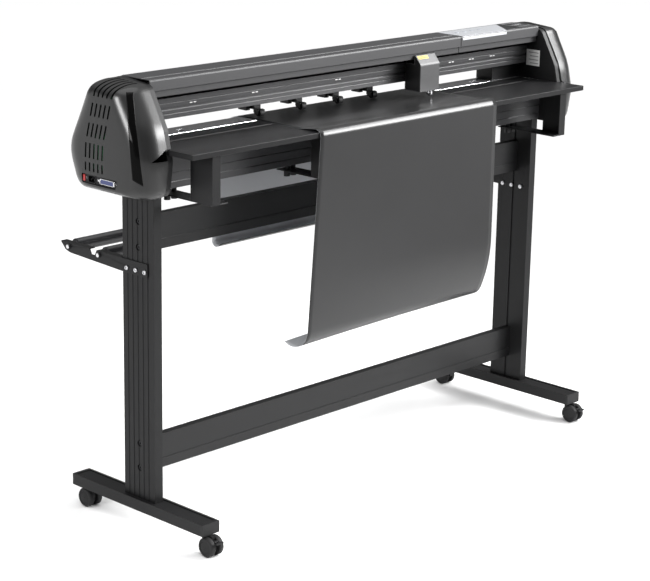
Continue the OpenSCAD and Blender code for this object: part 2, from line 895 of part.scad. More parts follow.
left_leg();
right_leg();
left_foot();
right_foot();
foot_end_caps();
crossbeams();
stand_bolts();
caster_fl_fork();
caster_fl_wheels();
caster_fl_brake();
caster_fr_fork();
caster_fr_wheels();
caster_fr_brake();
caster_rl_fork();
caster_rl_wheels();
caster_rr_fork();
caster_rr_wheels();
roll_brackets();
front_media_roller();
rear_media_roller();
base_beam();
platen();
front_table();
table_brackets();
bracket_knobs();
guide_rail();
top_cover();
end_frames();
left_cap();
right_cap();
cap_trim_strips();
panel_housing();
keypad_overlay();
display_window();
key_left();
key_right();
key_menu();
key_pause();
io_plate();
power_rocker();
electronics();
drive_motors();
drive_belts();
feed_shaft();
carriage_plate();
carriage_cover();
tool_holder();
pinch_1_carrier();
pinch_1_arm();
pinch_1_wheel();
pinch_2_carrier();
pinch_2_arm();
pinch_2_wheel();
pinch_3_carrier();
pinch_3_arm();
pinch_3_wheel();
pinch_4_carrier();
pinch_4_arm();
pinch_4_wheel();
vinyl_sheet();
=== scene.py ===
"""Looks of a floor-standing vinyl cutter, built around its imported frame.

Shapes are given in millimetres, and MM turns them into the frame's metres. Cameras, lamps, the floor, modifiers and
materials are in metres. In a shape, x runs along the machine, y from its front to its back, and z up."""
import json
import math
import bpy
import bmesh
from mathutils import Matrix, Vector
from mathutils.bvhtree import BVHTree


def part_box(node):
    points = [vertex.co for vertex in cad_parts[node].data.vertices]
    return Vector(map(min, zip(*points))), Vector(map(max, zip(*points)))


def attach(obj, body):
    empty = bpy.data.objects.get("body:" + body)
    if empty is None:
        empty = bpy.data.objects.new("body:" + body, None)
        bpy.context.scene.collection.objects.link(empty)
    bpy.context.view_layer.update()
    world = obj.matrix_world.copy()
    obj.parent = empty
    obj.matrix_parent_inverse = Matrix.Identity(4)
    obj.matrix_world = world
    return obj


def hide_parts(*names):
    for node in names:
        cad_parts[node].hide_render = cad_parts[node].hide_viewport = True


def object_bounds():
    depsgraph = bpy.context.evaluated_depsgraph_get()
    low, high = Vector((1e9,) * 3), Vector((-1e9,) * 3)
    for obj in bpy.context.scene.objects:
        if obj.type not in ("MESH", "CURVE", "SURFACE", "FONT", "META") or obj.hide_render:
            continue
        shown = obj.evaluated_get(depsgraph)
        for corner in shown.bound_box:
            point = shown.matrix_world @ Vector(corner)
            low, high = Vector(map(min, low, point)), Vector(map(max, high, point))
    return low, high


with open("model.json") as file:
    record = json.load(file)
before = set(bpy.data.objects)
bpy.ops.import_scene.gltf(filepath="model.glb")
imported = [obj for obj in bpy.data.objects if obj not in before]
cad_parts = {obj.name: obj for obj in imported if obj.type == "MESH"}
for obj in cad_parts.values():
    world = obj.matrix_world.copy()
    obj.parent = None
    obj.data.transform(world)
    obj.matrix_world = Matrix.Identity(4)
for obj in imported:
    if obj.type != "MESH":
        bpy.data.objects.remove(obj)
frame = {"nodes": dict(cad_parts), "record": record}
NODES = frame["nodes"]
CAD_LO, CAD_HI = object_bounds()
MM = 0.001
SCENE = bpy.context.scene


def span(node):
    """Lowest and highest corner of a CAD node, in millimetres."""
    lo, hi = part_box(node)
    return Vector(lo) / MM, Vector(hi) / MM


# ---------------------------------------------------------------- camera, light, floor
# The camera stands here, in metres, and is turned by these degrees; the lens is in millimetres
CAMERA_PLACE = (-3.6673, -3.4326, 1.8598)
CAMERA_TURN = {"yaw": 46.316, "pitch": -15.464, "roll": 1.041}
CAMERA_LENS = 108.83
SENSOR_WIDTH = 36
VIEW_LENGTH = 200
# Each soft box: its place, the point that it faces, its width and height in metres, and its power in watts
SOFT_BOXES = {"left": ((-3.45, 0.0, 1.6), (-0.82, -0.1, 1.05), (0.8, 1.1), 13),
              "front": ((2.2, -2.45, 2.15), (-0.2, -0.2, 1.0), (2.2, 1.1), 44),
              "side": ((2.6, -1.4, 2.95), (0, -0.2, 0.95), (1.7, 1.2), 20)}
BOX_SPREAD = 75
# The sky brightens between two heights, given as the sine of the angle above the horizon
SKY_HEIGHTS = (0.15, 1.0)
SKY_STRENGTHS = (0.10, 0.75)
SUN_STRENGTH = 1.8
SUN_WIDTH = 70
SUN_TILT = (8, -6)
FLOOR_HALF = 40
FLOOR_GAP = 0.0005
FLOOR_WHITE = 0.96


def make_camera():
    yaw, pitch, roll = [math.radians(CAMERA_TURN[k]) for k in ("yaw", "pitch", "roll")]
    ahead = Vector((math.sin(yaw) * math.cos(pitch), math.cos(yaw) * math.cos(pitch), math.sin(pitch)))
    level = Vector((math.cos(yaw), -math.sin(yaw), 0))
    above = level.cross(ahead)
    right = level * math.cos(roll) + above * math.sin(roll)
    up = above * math.cos(roll) - level * math.sin(roll)
    cam = bpy.data.objects.new("camera", bpy.data.cameras.new("camera"))
    SCENE.collection.objects.link(cam)
    cam.data.sensor_width = SENSOR_WIDTH
    cam.data.lens = CAMERA_LENS
    cam.data.clip_end = VIEW_LENGTH
    turn = Matrix((right, up, -ahead)).transposed().to_4x4()
    cam.matrix_world = Matrix.Translation(CAMERA_PLACE) @ turn
    SCENE.camera = cam


def soft_box(name, place, target, size, power):
    light = bpy.data.lights.new(name, "AREA")
    light.shape = "RECTANGLE"
    light.size, light.size_y = size
    light.energy = power
    light.spread = math.radians(BOX_SPREAD)
    obj = bpy.data.objects.new(name, light)
    SCENE.collection.objects.link(obj)
    obj.location = place
    obj.rotation_mode = "QUATERNION"
    obj.rotation_quaternion = (Vector(target) - Vector(place)).to_track_quat("-Z", "Y")


def make_light():
    """A sky that is dark at the horizon and bright overhead, a very soft sun, and three soft boxes."""
    world = bpy.data.worlds.new("studio")
    SCENE.world = world
    world.use_nodes = True
    tree = world.node_tree
    sky = tree.nodes["Background"]
    sky.inputs["Color"].default_value = (1, 1, 1, 1)
    coords = tree.nodes.new("ShaderNodeTexCoord")
    parts = tree.nodes.new("ShaderNodeSeparateXYZ")
    rise = tree.nodes.new("ShaderNodeMapRange")
    rise.interpolation_type = "SMOOTHSTEP"
    rise.inputs["From Min"].default_value, rise.inputs["From Max"].default_value = SKY_HEIGHTS
    rise.inputs["To Min"].default_value, rise.inputs["To Max"].default_value = SKY_STRENGTHS
    tree.links.new(coords.outputs["Generated"], parts.inputs["Vector"])
    tree.links.new(parts.outputs["Z"], rise.inputs["Value"])
    tree.links.new(rise.outputs["Result"], sky.inputs["Strength"])
    lamp = bpy.data.lights.new("sun", "SUN")
    lamp.energy = SUN_STRENGTH
    lamp.angle = math.radians(SUN_WIDTH)
    sun = bpy.data.objects.new("sun", lamp)
    SCENE.collection.objects.link(sun)
    sun.rotation_euler = (math.radians(SUN_TILT[0]), math.radians(SUN_TILT[1]), 0)
    for name, (place, target, size, power) in SOFT_BOXES.items():
        soft_box(name, place, target, size, power)
    SCENE.view_settings.view_transform = "Standard"
    SCENE.view_settings.exposure = 0.0


def make_floor():
    half = FLOOR_HALF
    corners = [(-half, -half, 0), (half, -half, 0), (half, half, 0), (-half, half, 0)]
    mesh = bpy.data.meshes.new("floor")
    mesh.from_pydata(corners, [], [(0, 1, 2, 3)])
    floor = bpy.data.objects.new("floor", mesh)
    SCENE.collection.objects.link(floor)
    floor.location.z = CAD_LO.z - FLOOR_GAP
    pale = bpy.data.materials.new("floor")
    pale.use_nodes = True
    shader = pale.node_tree.nodes["Principled BSDF"]
    shader.inputs["Base Color"].default_value = (FLOOR_WHITE, FLOOR_WHITE, FLOOR_WHITE, 1)
    shader.inputs["Roughness"].default_value = 0.85
    shader.inputs["Specular IOR Level"].default_value = 0.2
    mesh.materials.append(pale)


# ---------------------------------------------------------------- materials
STREAK = 0.012
MOTTLE_SCALE = 9
ROUGH_SWING = 0.05
GRAIN_DEPTH = 0.0002
SWELL_DEPTH = 0.004


def surface(name, color, rough, metal=0.0, spec=0.5, coat=0.0, grain=900, bump=0.08, streak=False, mottle=0.12,
            wave=0.0, coat_rough=0.1):
    """A node material: colour and roughness that vary a little, and fine bump. streak draws the grain along X."""
    mat = bpy.data.materials.new(name)
    mat.use_nodes = True
    tree = mat.node_tree
    shader = tree.nodes["Principled BSDF"]
    shader.inputs["Metallic"].default_value = metal
    shader.inputs["Specular IOR Level"].default_value = spec
    shader.inputs["Coat Weight"].default_value = coat
    shader.inputs["Coat Roughness"].default_value = coat_rough
    coords = tree.nodes.new("ShaderNodeTexCoord")
    mapping = tree.nodes.new("ShaderNodeMapping")
    mapping.inputs["Scale"].default_value = (STREAK if streak else 1, 1, 1)
    tree.links.new(coords.outputs["Object"], mapping.inputs["Vector"])

    def noise(scale, detail, source):
        tex = tree.nodes.new("ShaderNodeTexNoise")
        tex.inputs["Scale"].default_value = scale
        tex.inputs["Detail"].default_value = detail
        tree.links.new(source, tex.inputs["Vector"])
        return tex.outputs["Fac"]

    fine = noise(grain, 3, mapping.outputs["Vector"])
    broad = noise(MOTTLE_SCALE, 4, coords.outputs["Object"])
    tint = tree.nodes.new("ShaderNodeMix")
    tint.data_type = "RGBA"
    tint.inputs["A"].default_value = (*[c * (1 - mottle) for c in color], 1)
    tint.inputs["B"].default_value = (*[min(1, c * (1 + mottle)) for c in color], 1)
    tree.links.new(broad, tint.inputs["Factor"])
    tree.links.new(tint.outputs["Result"], shader.inputs["Base Color"])
    swing = tree.nodes.new("ShaderNodeMapRange")
    swing.inputs["To Min"].default_value = max(0.02, rough - ROUGH_SWING)
    swing.inputs["To Max"].default_value = min(1, rough + ROUGH_SWING)
    tree.links.new(fine, swing.inputs["Value"])
    tree.links.new(swing.outputs["Result"], shader.inputs["Roughness"])
    relief = tree.nodes.new("ShaderNodeBump")
    relief.inputs["Strength"].default_value = bump
    relief.inputs["Distance"].default_value = GRAIN_DEPTH
    tree.links.new(fine, relief.inputs["Height"])
    if wave:
        swell = tree.nodes.new("ShaderNodeBump")
        swell.inputs["Strength"].default_value = wave
        swell.inputs["Distance"].default_value = SWELL_DEPTH
        tree.links.new(broad, swell.inputs["Height"])
        tree.links.new(swell.outputs["Normal"], relief.inputs["Normal"])
    tree.links.new(relief.outputs["Normal"], shader.inputs["Normal"])
    return mat


M = {
    "frame_black": surface("powder_coat", (0.010, 0.010, 0.0105), 0.42, grain=1400, bump=0.22, spec=0.2),
    "beam_grey": surface("beam_coat", (0.012, 0.012, 0.0125), 0.36, grain=1400, bump=0.2, streak=True, spec=0.24),
    "plastic_black": surface("moulded_black", (0.009, 0.009, 0.0095), 0.45, grain=1800, bump=0.15, spec=0.25),
    "tread_black": surface("rubber_black", (0.010, 0.010, 0.0105), 0.62, grain=1200, bump=0.3, spec=0.3),
    "fastener_steel": surface("zinc_steel", (0.62, 0.62, 0.64), 0.3, metal=1, grain=2200, bump=0.1),
    "roller_black": surface("roller_paint", (0.020, 0.020, 0.022), 0.35, grain=900, streak=True),
    "rail_black": surface("anodised_black", (0.036, 0.036, 0.038), 0.36, metal=0.25, grain=700, bump=0.1, streak=True),
    "table_black": surface("table_coat", (0.010, 0.010, 0.0105), 0.42, grain=1500, bump=0.3, spec=0.16),
    "platen_silver": surface("platen_strip", (0.78, 0.78, 0.80), 0.16, metal=0.9, grain=500, bump=0.03, streak=True),
    "cap_gloss": surface("cap_plastic", (0.008, 0.008, 0.0082), 0.36, grain=2600, bump=0.1, spec=0.25, coat=0.5,
                        coat_rough=0.24),
    "strip_gloss": surface("inset_gloss", (0.002, 0.002, 0.002), 0.10, grain=600, bump=0.01, spec=0.06),
    "keypad_silver": surface("keypad_film", (0.42, 0.43, 0.45), 0.34, metal=0.15, grain=2600, bump=0.08, mottle=0.04),
    "display_glass": surface("display_dark", (0.012, 0.014, 0.016), 0.07, grain=300, bump=0.01, coat=0.8),
    "key_grey": surface("key_plastic", (0.34, 0.36, 0.39), 0.4, grain=2000, bump=0.1),
    "rocker_red": surface("rocker_plastic", (0.30, 0.015, 0.015), 0.3, grain=2000, bump=0.05, coat=0.3),
    "board_green": surface("board_green", (0.03, 0.14, 0.06), 0.4, grain=800, bump=0.2),
    "motor_black": surface("motor_paint", (0.03, 0.03, 0.03), 0.4, grain=1500, bump=0.2),
    "shaft_steel": surface("ground_steel", (0.60, 0.60, 0.62), 0.24, metal=1, grain=900, bump=0.08, streak=True),
    "carriage_dark": surface("carriage_black", (0.010, 0.010, 0.0105), 0.42, grain=1800, bump=0.15, spec=0.3),
    "carriage_grey": surface("carriage_grey", (0.046, 0.046, 0.048), 0.42, grain=2200, bump=0.2, mottle=0.06),
    "vinyl_black": surface("vinyl_film", (0.014, 0.014, 0.0145), 0.30, grain=500, bump=0.03, spec=0.40, wave=0.05),
    "liner_pale": surface("vinyl_liner", (0.50, 0.51, 0.53), 0.55, grain=1600, bump=0.1, mottle=0.05),
    "label_white": surface("label_paper", (0.78, 0.78, 0.77), 0.5, grain=2400, bump=0.06, mottle=0.03),
    "label_yellow": surface("label_yellow", (0.45, 0.33, 0.03), 0.4, grain=2400, bump=0.05, mottle=0.05),
    "print_grey": surface("print_grey", (0.25, 0.25, 0.26), 0.6, grain=2400, bump=0.02),
    "print_dark": surface("print_dark", (0.04, 0.04, 0.04), 0.6, grain=2400, bump=0.02),
    "port_blue": surface("port_blue", (0.02, 0.03, 0.11), 0.3, grain=1500, bump=0.05, coat=0.3),
    "bolt_dark": surface("dark_steel", (0.03, 0.03, 0.032), 0.32, metal=0.6, grain=2000, bump=0.1),
    "cover_coat": surface("cover_coat", (0.040, 0.040, 0.042), 0.42, grain=1500, bump=0.2, streak=True, spec=0.4,
                          mottle=0.06),
    "chrome_bright": surface("bright_nickel", (0.80, 0.80, 0.82), 0.14, metal=1, grain=1500, bump=0.03),
}


# ---------------------------------------------------------------- mesh helpers
class Shape:
    """Collects solids for one piece, in millimetres."""

    def __init__(self):
        self.verts, self.faces, self.slots = [], [], []

    def add(self, verts, faces, slot=0):
        base = len(self.verts)
        self.verts += [Vector(v) for v in verts]
        self.faces += [tuple(base + i for i in f) for f in faces]
        self.slots += [slot] * len(faces)

    def box(self, lo, hi, slot=0):
        corners = [(x, y, z) for x in (lo[0], hi[0]) for y in (lo[1], hi[1]) for z in (lo[2], hi[2])]
        faces = [(0, 1, 3, 2), (4, 6, 7, 5), (0, 4, 5, 1), (2, 3, 7, 6), (0, 2, 6, 4), (1, 5, 7, 3)]
        self.add(corners, faces, slot)

    def loops(self, rings, slot=0, cap=True, closed=False):
        """Skins rings that all have the same number of points."""
        n = len(rings[0])
        verts = [p for ring in rings for p in ring]
        count = len(rings)
        faces = []
        for i in range(count if closed else count - 1):
            a, b = i * n, ((i + 1) % count) * n
            faces += [(a + j, a + (j + 1) % n, b + (j + 1) % n, b + j) for j in range(n)]
        if cap and not closed:
            faces += [tuple(reversed(range(n))), tuple(range((count - 1) * n, count * n))]
        self.add(verts, faces, slot)

    def net(self, rows):
        """An open skin over rows of points."""
        width = len(rows[0])
        faces = [(i * width + j, i * width + j + 1, (i + 1) * width + j + 1, (i + 1) * width + j)
                 for i in range(len(rows) - 1) for j in range(width - 1)]
        self.add([p for row in rows for p in row], faces)

    def turned(self, centre, axis, profile, slot=0, sides=40):
        """A solid turned about an axis ("x", "y" or "z"); profile is (distance along it, radius)."""
        rings = []
        for along, radius in profile:
            ring = []
            for k in range(sides):
                a = 2 * math.pi * k / sides
                c, s = radius * math.cos(a), radius * math.sin(a)
                offset = {"x": (along, c, s), "y": (s, along, c), "z": (c, s, along)}[axis]
                ring.append(Vector(centre) + Vector(offset))
            rings.append(ring)
        self.loops(rings, slot)

    def slab(self, outline, low, high, axis="z", slot=0):
        """A flat plate: outline in the plane across the axis, from low to high along it."""
        spot = {"x": lambda p, d: (d, p[0], p[1]),
                "y": lambda p, d: (p[0], d, p[1]),
                "z": lambda p, d: (p[0], p[1], d)}[axis]
        self.loops([[spot(p, low) for p in outline], [spot(p, high) for p in outline]], slot)

    def tube(self, path, radius, slot=0, sides=10):
        """A round wire along a path, turned as little as possible from one point to the next."""
        rings = []
        for i, p in enumerate(path):
            p = Vector(p)
            ahead = (Vector(path[min(i + 1, len(path) - 1)]) - Vector(path[max(i - 1, 0)])).normalized()
            side = ahead.orthogonal().normalized() if i == 0 else side
            side = (side - side.dot(ahead) * ahead).normalized()
            over = ahead.cross(side)
            ring = []
            for k in range(sides):
                a = 2 * math.pi * k / sides
                ring.append(p + radius * (math.cos(a) * side + math.sin(a) * over))
            rings.append(ring)
        self.loops(rings, slot)

    def plain(self, name):
        """The bare Blender object, with its faces turned outwards."""
        mesh = bpy.data.meshes.new(name)
        mesh.from_pydata([v * MM for v in self.verts], [], self.faces)
        bm = bmesh.new()
        bm.from_mesh(mesh)
        bmesh.ops.recalc_face_normals(bm, faces=bm.faces)
        bm.to_mesh(mesh)
        bm.free()
        obj = bpy.data.objects.new(name, mesh)
        SCENE.collection.objects.link(obj)
        return obj

    def piece(self, name, materials, body="root", slot=None, stands_for=(), bevel=0.0, smooth=35):
        """Makes a visible piece: bevelled, smooth-shaded up to an angle, riding on its body."""
        obj = self.plain(name)
        for m in materials:
            obj.data.materials.append(M[m])
        obj.data.polygons.foreach_set("material_index", self.slots)
        if bevel:
            add_bevel(obj, bevel)
        shade(obj, smooth)
        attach(obj, body)
        if stands_for:
            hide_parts(*stands_for)
        return obj


def add_bevel(obj, width, angle=30):
    bevel = obj.modifiers.new("edges", "BEVEL")
    bevel.width = width * MM
    bevel.segments = 2
    bevel.limit_method = "ANGLE"
    bevel.angle_limit = math.radians(angle)
    bevel.harden_normals = False


def shade(obj, angle):
    obj.data.polygons.foreach_set("use_smooth", [True] * len(obj.data.polygons))
    obj.data.set_sharp_from_angle(angle=math.radians(angle))


def fillet(corners, steps=6):
    """A closed outline from (a, b, radius) corners, each rounded by an arc."""
    outline = []
    count = len(corners)
    for i in range(count):
        p = Vector(corners[i][:2])
        before = (Vector(corners[i - 1][:2]) - p).normalized()
        after = (Vector(corners[(i + 1) % count][:2]) - p).normalized()
        half = before.angle(after) / 2
        radius = corners[i][2]
        reach = radius / math.tan(half)
        middle = p + (before + after).normalized() * (radius / math.sin(half))
        start, end = p + before * reach - middle, p + after * reach - middle
        turn = start.angle_signed(end)
        for k in range(steps + 1):
            a = -turn * k / steps
            c, s = math.cos(a), math.sin(a)
            outline.append(middle + Vector((start.x * c - start.y * s, start.x * s + start.y * c)))
    return outline


def bend(centre, radius, start, end, steps):
    """Points of an arc, angles in degrees."""
    angles = [math.radians(start + (end - start) * i / steps) for i in range(steps + 1)]
    return [Vector((centre[0] + radius * math.cos(a), centre[1] + radius * math.sin(a))) for a in angles]


def cut(obj, cutter):
    """Takes the cutter's volume out of the object, for good."""
    knife = obj.modifiers.new("cut", "BOOLEAN")
    knife.operation = "DIFFERENCE"
    knife.solver = "EXACT"
    knife.object = cutter
    settle(obj)
    bpy.data.objects.remove(cutter)


def settle(obj):
    """Applies every modifier."""
    bpy.context.view_layer.update()
    made = bpy.data.meshes.new_from_object(obj.evaluated_get(bpy.context.evaluated_depsgraph_get()))
    obj.modifiers.clear()
    obj.data = made


# ---------------------------------------------------------------- CAD nodes that stay
SLOT_OF = {row["node"]: row["material_slot"] for row in frame["record"]["subparts"]}
# Nodes whose material is not simply their slot's
SPECIAL = {"crossbeams": "beam_grey", "front_table": "table_black", "top_cover": "cover_coat",
           "panel_housing": "cover_coat"}
# The bevel on a node's edges, in millimetres
EDGE = 0.5
EDGES = {"front_table": 1.2, "left_foot": 1.2, "right_foot": 1.2, "left_leg": 0.9, "right_leg": 0.9,
         "top_cover": 1.0, "panel_housing": 1.0, "carriage_cover": 2.0, "table_brackets": 0.8}
WELD_GAP = 0.00001


def dress_cad():
    """Gives every CAD node its material and finely bevelled edges."""
    for name, obj in NODES.items():
        obj.data.materials.clear()
        obj.data.materials.append(M[SPECIAL.get(name, SLOT_OF[name])])
        weld = obj.modifiers.new("weld", "WELD")
        weld.merge_threshold = WELD_GAP
        add_bevel(obj, EDGES.get(name, EDGE), 40)


# ---------------------------------------------------------------- end caps
# The cap's outline, from its box's front bottom corner: (back, up, corner radius)
CAP_CORNERS = [(71, 259, 26), (15, 163, 170), (-2, 87, 90), (12, 0, 26), (246, 0, 40), (282, 92, 84), (196, 268, 48)]
# How the outline draws in towards the outer face: (inset, length of the rounding, power)
CAP_INSETS = {"front": (52, 60, 2.1), "back": (48, 26, 2), "top": (27, 60, 2), "low": (19, 58, 2)}
# Depths of the rings behind the outer face, then how far the face's own rings go towards its middle
CAP_DEPTHS = (81, 70, 62, 56, 51, 46, 41, 36, 32, 28, 24.5, 21.5, 18.5, 16, 13.5, 11, 9, 7, 5.4, 4, 2.8, 1.8, 1, 0.4,
              0)
CAP_FACE_STEPS = (0.1, 0.2, 0.32, 0.46, 0.62, 0.8, 0.97)
CAP_MIDDLE = (150, 134)
CAP_SIZE = (276, 267)
CAP_DOME = {"front": 9, "back": 4}
CAP_WALL = 2.5
CAP_SKIN = 0.4
CAP_POINTS = 132
# Vent slots: columns from the front, rows up from the cap's foot, and where they start to lean forward
VENT_COLUMNS = 5
VENT_BACK = 138
VENT_STEP = 15
VENT_LOW = {"left": 51, "right": 22}
VENT_LOW_TOP = 72
VENT_ROWS = [(82, 118), (132, 166), (182, 214)]
VENT_TOP = (230, 275)
VENT_HALF = 2.7
VENT_ROUND = 1.5
VENT_DEPTH = 24
VENT_TOP_START = 9
VENT_LEAN_FROM = 108
VENT_LEAN = 0.28
# How far a cutter reaches out past the face that it cuts
CLEAR = 5
# The wedge that the table's corner runs into: (inwards from the rim, up from the cap's foot), then its reach in y
NOTCH = ((-1, 120), (46, 93), (-1, 92))
NOTCH_REACH = (-20, 70)
CAP_SHARP = 32
SLOT_DEPTH = 9
# The gloss strip: the direction it is laid on along, its edges (sideways place at the cap's foot, lean), its ends
STRIP_AHEAD = (0.70, 0.714)
STRIP_EDGES = ((-18.2, -0.077), (7.2, -0.117))
STRIP_FOOT = (52, 38)
STRIP_TOP = 247
STRIP_REACH = 300
STRIP_LIFT = 0.0005
STRIP_THICK = 0.0012
# The seam band: the scales of its outer and inner loop, and its width
LIP_SCALES = (0.985, 0.96)
LIP_WIDTH = 1.6


def even(outline, count):
    """The closed outline again, with evenly spaced points."""
    marks = [0]
    for i, p in enumerate(outline):
        marks.append(marks[-1] + (outline[(i + 1) % len(outline)] - p).length)
    points, k = [], 0
    for j in range(count):
        want = marks[-1] * j / count
        while marks[k + 1] < want:
            k += 1
        t = (want - marks[k]) / max(1e-9, marks[k + 1] - marks[k])
        points.append(outline[k].lerp(outline[(k + 1) % len(outline)], t))
    return points


def cap_shift(point, depth):
    """How far a point of the outline has drawn in at a depth from the outer face."""
    def amount(kind):
        inset, length, power = CAP_INSETS[kind]
        u = min(1, max(0, (length - depth) / length))
        return inset * (1 - (1 - u ** power) ** (1 / power))

    def ease(part):
        return math.sin(math.pi / 2 * min(1, abs(part)))

    def share(at, middle, size):
        return (at - middle) / (middle if at < middle else size - middle)
    across = share(point.x, CAP_MIDDLE[0], CAP_SIZE[0])
    upward = share(point.y, CAP_MIDDLE[1], CAP_SIZE[1])
    return Vector((ease(across) * (-amount("front") if across < 0 else amount("back")),
                   ease(upward) * (-amount("low") if upward < 0 else amount("top"))))


def cap_bulge(point, depth):
    """The outer face is slightly domed from back to front."""
    across = (point.x - CAP_MIDDLE[0]) / CAP_MIDDLE[0]
    return (1 - depth / CAP_DEPTHS[0]) * CAP_DOME["front" if across < 0 else "back"] * across * across


def cap_rings(outer_x, side, front_y, low_z):
    """The cap's skin as rings, from its open inner side to near the middle of its outer face."""
    def ring(points, depth):
        return [Vector((outer_x - side * (depth + CAP_SKIN + cap_bulge(m, depth)), front_y + m.x, low_z + m.y))
                for m in points]
    outline = even(fillet(CAP_CORNERS, 10), CAP_POINTS)
    rings = [ring([p - cap_shift(p, depth) for p in outline], depth) for depth in CAP_DEPTHS]
    flat = [p - cap_shift(p, 0) for p in outline]
    middle = Vector(CAP_MIDDLE)
    return rings + [ring([m.lerp(middle, t) for m in flat], 0) for t in CAP_FACE_STEPS]


def make_cap(name, side):
    """An end cap: a rounded hollow shell with vents, the table's notch and, on the left, the connector slot."""
    lo, hi = span(name)
    inner_x, outer_x = (lo.x, hi.x) if side > 0 else (hi.x, lo.x)
    rings = cap_rings(outer_x, side, lo.y, lo.z)
    skin = Shape()
    skin.loops(rings, cap=False)
    skin.add(rings[-1], [tuple(range(CAP_POINTS))])
    cap = skin.piece(name + "_shell", ["cap_gloss"], slot="cap_gloss", stands_for=[name])
    bm = bmesh.new()
    bm.from_mesh(cap.data)
    bmesh.ops.remove_doubles(bm, verts=bm.verts, dist=1e-6)
    bmesh.ops.recalc_face_normals(bm, faces=bm.faces)
    middle = (lo + hi) / 2 * MM
    face = max(bm.faces, key=lambda f: f.calc_area())
    if (face.calc_center_median() - middle).dot(face.normal) < 0:
        bmesh.ops.reverse_faces(bm, faces=bm.faces)
    bm.to_mesh(cap.data)
    bm.free()
    tree = BVHTree.FromObject(cap, bpy.context.evaluated_depsgraph_get())
    shell = cap.modifiers.new("wall", "SOLIDIFY")
    shell.thickness = CAP_WALL * MM
    shell.offset = -1
    settle(cap)
    holes = Shape()
    low = lo.z + VENT_LOW["left" if side < 0 else "right"]
    for i in range(VENT_COLUMNS):
        back = lo.y + VENT_BACK + VENT_STEP * i
        cap_vents(holes, back, low, lo.z, inner_x, outer_x, side)
    notch = [(inner_x + side * inwards, lo.z + up) for inwards, up in NOTCH]
    holes.slab(notch, lo.y + NOTCH_REACH[0], lo.y + NOTCH_REACH[1], "y")
    if side < 0:
        panel_lo, panel_hi = span("io_plate")
        outline = fillet([(panel_lo.y + 12, panel_lo.z + 1, 3), (panel_hi.y - 2, panel_lo.z + 1, 3),
                          (panel_hi.y - 2, panel_hi.z - 3, 3), (panel_lo.y + 3, panel_hi.z - 3, 3)], 4)
        holes.slab(outline, outer_x - CLEAR, outer_x + SLOT_DEPTH, "x")
    cut(cap, holes.plain(name + "_holes"))
    shade(cap, CAP_SHARP)
    make_strip(name, side, outer_x, lo, tree)
    make_cap_lip(name, rings[0], side)


def vent_corners(back, base, z0, z1):
    """A slot's four corners. The slots run straight up, then lean forward with the cap's rear edge."""
    def middle(z):
        return back - max(0, z - base - VENT_LEAN_FROM) * VENT_LEAN
    return [(middle(z0) - VENT_HALF, z0), (middle(z0) + VENT_HALF, z0), (middle(z1) + VENT_HALF, z1),
            (middle(z1) - VENT_HALF, z1)]


def cap_vents(holes, back, low, base, inner_x, outer_x, side):
    """One column of slots; the top one runs over the edge and along the cap's top."""
    for z0, z1 in [(low, base + VENT_LOW_TOP)] + [(base + a, base + b) for a, b in VENT_ROWS]:
        corners = [(y, z, VENT_ROUND) for y, z in vent_corners(back, base, z0, z1)]
        holes.slab(fillet(corners, 3), outer_x - side * VENT_DEPTH, outer_x + side * CLEAR, "x")
    top = vent_corners(back, base, base + VENT_TOP[0], base + VENT_TOP[1])
    holes.slab(top, inner_x + side * VENT_TOP_START, outer_x + side * CLEAR, "x")


def make_strip(name, side, outer_x, lo, tree):
    """The high-gloss strip let into the cap's rounded front corner, laid on the skin from in front and outside.

    Its two long edges are straight lines in a plane that faces the corner; its foot is cut off at a slant."""
    ahead = Vector((-side * STRIP_AHEAD[0], STRIP_AHEAD[1], 0))
    along = Vector((-side * STRIP_AHEAD[1], -STRIP_AHEAD[0], 0))
    corner = Vector((outer_x, lo.y, 0))
    rows, columns = 60, 10
    grid = []
    for i in range(rows + 1):
        row = []
        for j in range(columns + 1):
            s = j / columns
            foot = STRIP_FOOT[0] + (STRIP_FOOT[1] - STRIP_FOOT[0]) * s
            up = foot + (STRIP_TOP - foot) * i / rows
            left, right = [place + up * lean for place, lean in STRIP_EDGES]
            reach = left + (right - left) * s
            base = corner + along * reach - ahead * STRIP_REACH
            start = Vector((base.x, base.y, lo.z + up)) * MM
            spot, normal, _, _ = tree.ray_cast(start, ahead)
            out = normal if normal.dot(ahead) < 0 else -normal
            row.append((spot + out * STRIP_LIFT) / MM)
        grid.append(row)
    strip = Shape()
    strip.net(grid)
    stands_for = ["cap_trim_strips"] if side < 0 else []
    obj = strip.piece(name + "_inset", ["strip_gloss"], slot="strip_gloss", stands_for=stands_for, smooth=60)
    face = obj.data.polygons[len(obj.data.polygons) // 2]
    if face.normal.y > 0:
        obj.data.flip_normals()
    wall = obj.modifiers.new("wall", "SOLIDIFY")
    wall.thickness = STRIP_THICK
    wall.offset = -1


def make_cap_lip(name, rim, side):
    """The thin seam band round the cap's inner rim."""
    lip = Shape()
    centre = sum(rim, Vector()) / len(rim)
    outer, inner = [[centre + (p - centre) * scale for p in rim] for scale in LIP_SCALES]
    outer_back, inner_back = [[Vector((p.x - side * LIP_WIDTH, p.y, p.z)) for p in loop] for loop in (outer, inner)]
    lip.loops([outer, outer_back, inner_back, inner], closed=True)
    lip.piece(name + "_seam", ["plastic_black"], slot="plastic_black", smooth=50)


# ---------------------------------------------------------------- connector panel
# Half the width and height of the port's frame and of the inlet's rim
PORT_HALF = (26.5, 6.5)
INLET_HALF = (13.5, 9.5)
# Where they sit on the panel, from its front and its foot, and how deep the panel's face lies
PORT_Y = 44.5
INLET_Y = 99.5
PANEL_MIDDLE = 12
PANEL_FACE = 2
PANEL_SCREW = [(0.4, 2.9), (-1.0, 2.9), (-1.9, 1.9), (-1.9, 0.9), (-1.2, 0.7)]


